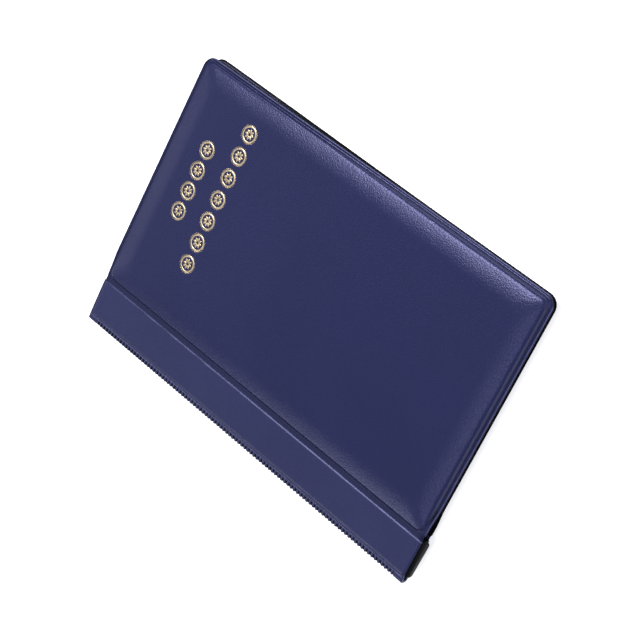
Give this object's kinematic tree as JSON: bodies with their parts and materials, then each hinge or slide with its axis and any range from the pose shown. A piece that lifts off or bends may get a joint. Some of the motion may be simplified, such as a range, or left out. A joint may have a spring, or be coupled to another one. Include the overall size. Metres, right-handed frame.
{
  "type": "coin album",
  "caption": "Closed pocket coin album with padded vinyl covers, a ribbed spine and clear leaves of coin pockets that turn on a binding strip.",
  "frame": {"origin": "centre of the closed album's footprint, on the surface that its back cover lies on", "axes": "+X from the spine to the fore edge, +Y from the bottom edge to the top edge, +Z out of the front cover"},
  "size_m": [0.1148, 0.17, 0.0093],
  "materials": {
    "blue_vinyl": "fine pebble-grained soft vinyl with a satin sheen, navy blue",
    "black_vinyl": "smooth black soft vinyl",
    "greyboard": "plain grey binder's board",
    "white_foam": "white open-cell foam",
    "gold_foil": "hot stamped pale gold foil, satin",
    "clear_sheet": "clear soft vinyl sheet, glossy",
    "clear_film": "clear soft vinyl film, glossy"
  },
  "bodies": {
    "binding": {"front_hinge_strip": "blue_vinyl", "front_hinge_lining": "black_vinyl", "back_hinge_strip": "blue_vinyl", "back_hinge_lining": "black_vinyl", "ribbed_spine": "blue_vinyl", "binding_core": "black_vinyl", "leaf_tabs": "clear_sheet"},
    "front_cover": {"front_cover_skin": "blue_vinyl", "front_cover_foam": "white_foam", "front_cover_board": "greyboard", "front_cover_lining": "black_vinyl", "foil_upper_row": "gold_foil", "foil_lower_row": "gold_foil"},
    "back_cover": {"back_cover_skin": "blue_vinyl", "back_cover_foam": "white_foam", "back_cover_board": "greyboard", "back_cover_lining": "black_vinyl"},
    "leaf_01": {"leaf_01_sheet": "clear_sheet", "leaf_01_pockets": "clear_film"},
    "leaf_02": {"leaf_02_sheet": "clear_sheet", "leaf_02_pockets": "clear_film"},
    "leaf_03": {"leaf_03_sheet": "clear_sheet", "leaf_03_pockets": "clear_film"},
    "leaf_04": {"leaf_04_sheet": "clear_sheet", "leaf_04_pockets": "clear_film"},
    "leaf_05": {"leaf_05_sheet": "clear_sheet", "leaf_05_pockets": "clear_film"},
    "leaf_06": {"leaf_06_sheet": "clear_sheet", "leaf_06_pockets": "clear_film"},
    "leaf_07": {"leaf_07_sheet": "clear_sheet", "leaf_07_pockets": "clear_film"},
    "leaf_08": {"leaf_08_sheet": "clear_sheet", "leaf_08_pockets": "clear_film"},
    "leaf_09": {"leaf_09_sheet": "clear_sheet", "leaf_09_pockets": "clear_film"},
    "leaf_10": {"leaf_10_sheet": "clear_sheet", "leaf_10_pockets": "clear_film"}
  },
  "joints": [
    {"name": "front_cover_hinge", "type": "hinge", "parent": "binding", "child": "front_cover", "pos_m": [-0.0389, 0, 0.0076], "axis": [0, -1, 0], "range_deg": [0, 170]},
    {"name": "back_cover_hinge", "type": "hinge", "parent": "binding", "child": "back_cover", "pos_m": [-0.0389, 0, 0.0016], "axis": [0, 1, 0], "range_deg": [0, 170]},
    {"name": "leaf_01_fold", "type": "hinge", "parent": "binding", "child": "leaf_01", "pos_m": [-0.0305, 0, 0.00307], "axis": [0, -1, 0], "range_deg": [0, 13.76]},
    {"name": "leaf_02_fold", "type": "hinge", "parent": "binding", "child": "leaf_02", "pos_m": [-0.0311, 0, 0.00339], "axis": [0, -1, 0], "range_deg": [0, 27.02]},
    {"name": "leaf_03_fold", "type": "hinge", "parent": "binding", "child": "leaf_03", "pos_m": [-0.0317, 0, 0.00371], "axis": [0, -1, 0], "range_deg": [0, 40.28]},
    {"name": "leaf_04_fold", "type": "hinge", "parent": "binding", "child": "leaf_04", "pos_m": [-0.0323, 0, 0.00403], "axis": [0, -1, 0], "range_deg": [0, 53.54]},
    {"name": "leaf_05_fold", "type": "hinge", "parent": "binding", "child": "leaf_05", "pos_m": [-0.0329, 0, 0.00435], "axis": [0, -1, 0], "range_deg": [0, 66.8]},
    {"name": "leaf_06_fold", "type": "hinge", "parent": "binding", "child": "leaf_06", "pos_m": [-0.0335, 0, 0.00467], "axis": [0, -1, 0], "range_deg": [0, 80.06]},
    {"name": "leaf_07_fold", "type": "hinge", "parent": "binding", "child": "leaf_07", "pos_m": [-0.0341, 0, 0.00499], "axis": [0, -1, 0], "range_deg": [0, 93.32]},
    {"name": "leaf_08_fold", "type": "hinge", "parent": "binding", "child": "leaf_08", "pos_m": [-0.0347, 0, 0.00531], "axis": [0, -1, 0], "range_deg": [0, 106.58]},
    {"name": "leaf_09_fold", "type": "hinge", "parent": "binding", "child": "leaf_09", "pos_m": [-0.0353, 0, 0.00563], "axis": [0, -1, 0], "range_deg": [0, 119.84]},
    {"name": "leaf_10_fold", "type": "hinge", "parent": "binding", "child": "leaf_10", "pos_m": [-0.0359, 0, 0.00595], "axis": [0, -1, 0], "range_deg": [0, 133.1]}
  ],
  "couplings": [
    {"joint": "leaf_01_fold", "follows": "front_cover_hinge", "ratio": 0.078},
    {"joint": "leaf_02_fold", "follows": "front_cover_hinge", "ratio": 0.156},
    {"joint": "leaf_03_fold", "follows": "front_cover_hinge", "ratio": 0.234},
    {"joint": "leaf_04_fold", "follows": "front_cover_hinge", "ratio": 0.312},
    {"joint": "leaf_05_fold", "follows": "front_cover_hinge", "ratio": 0.39},
    {"joint": "leaf_06_fold", "follows": "front_cover_hinge", "ratio": 0.468},
    {"joint": "leaf_07_fold", "follows": "front_cover_hinge", "ratio": 0.546},
    {"joint": "leaf_08_fold", "follows": "front_cover_hinge", "ratio": 0.624},
    {"joint": "leaf_09_fold", "follows": "front_cover_hinge", "ratio": 0.702},
    {"joint": "leaf_10_fold", "follows": "front_cover_hinge", "ratio": 0.78}
  ]
}
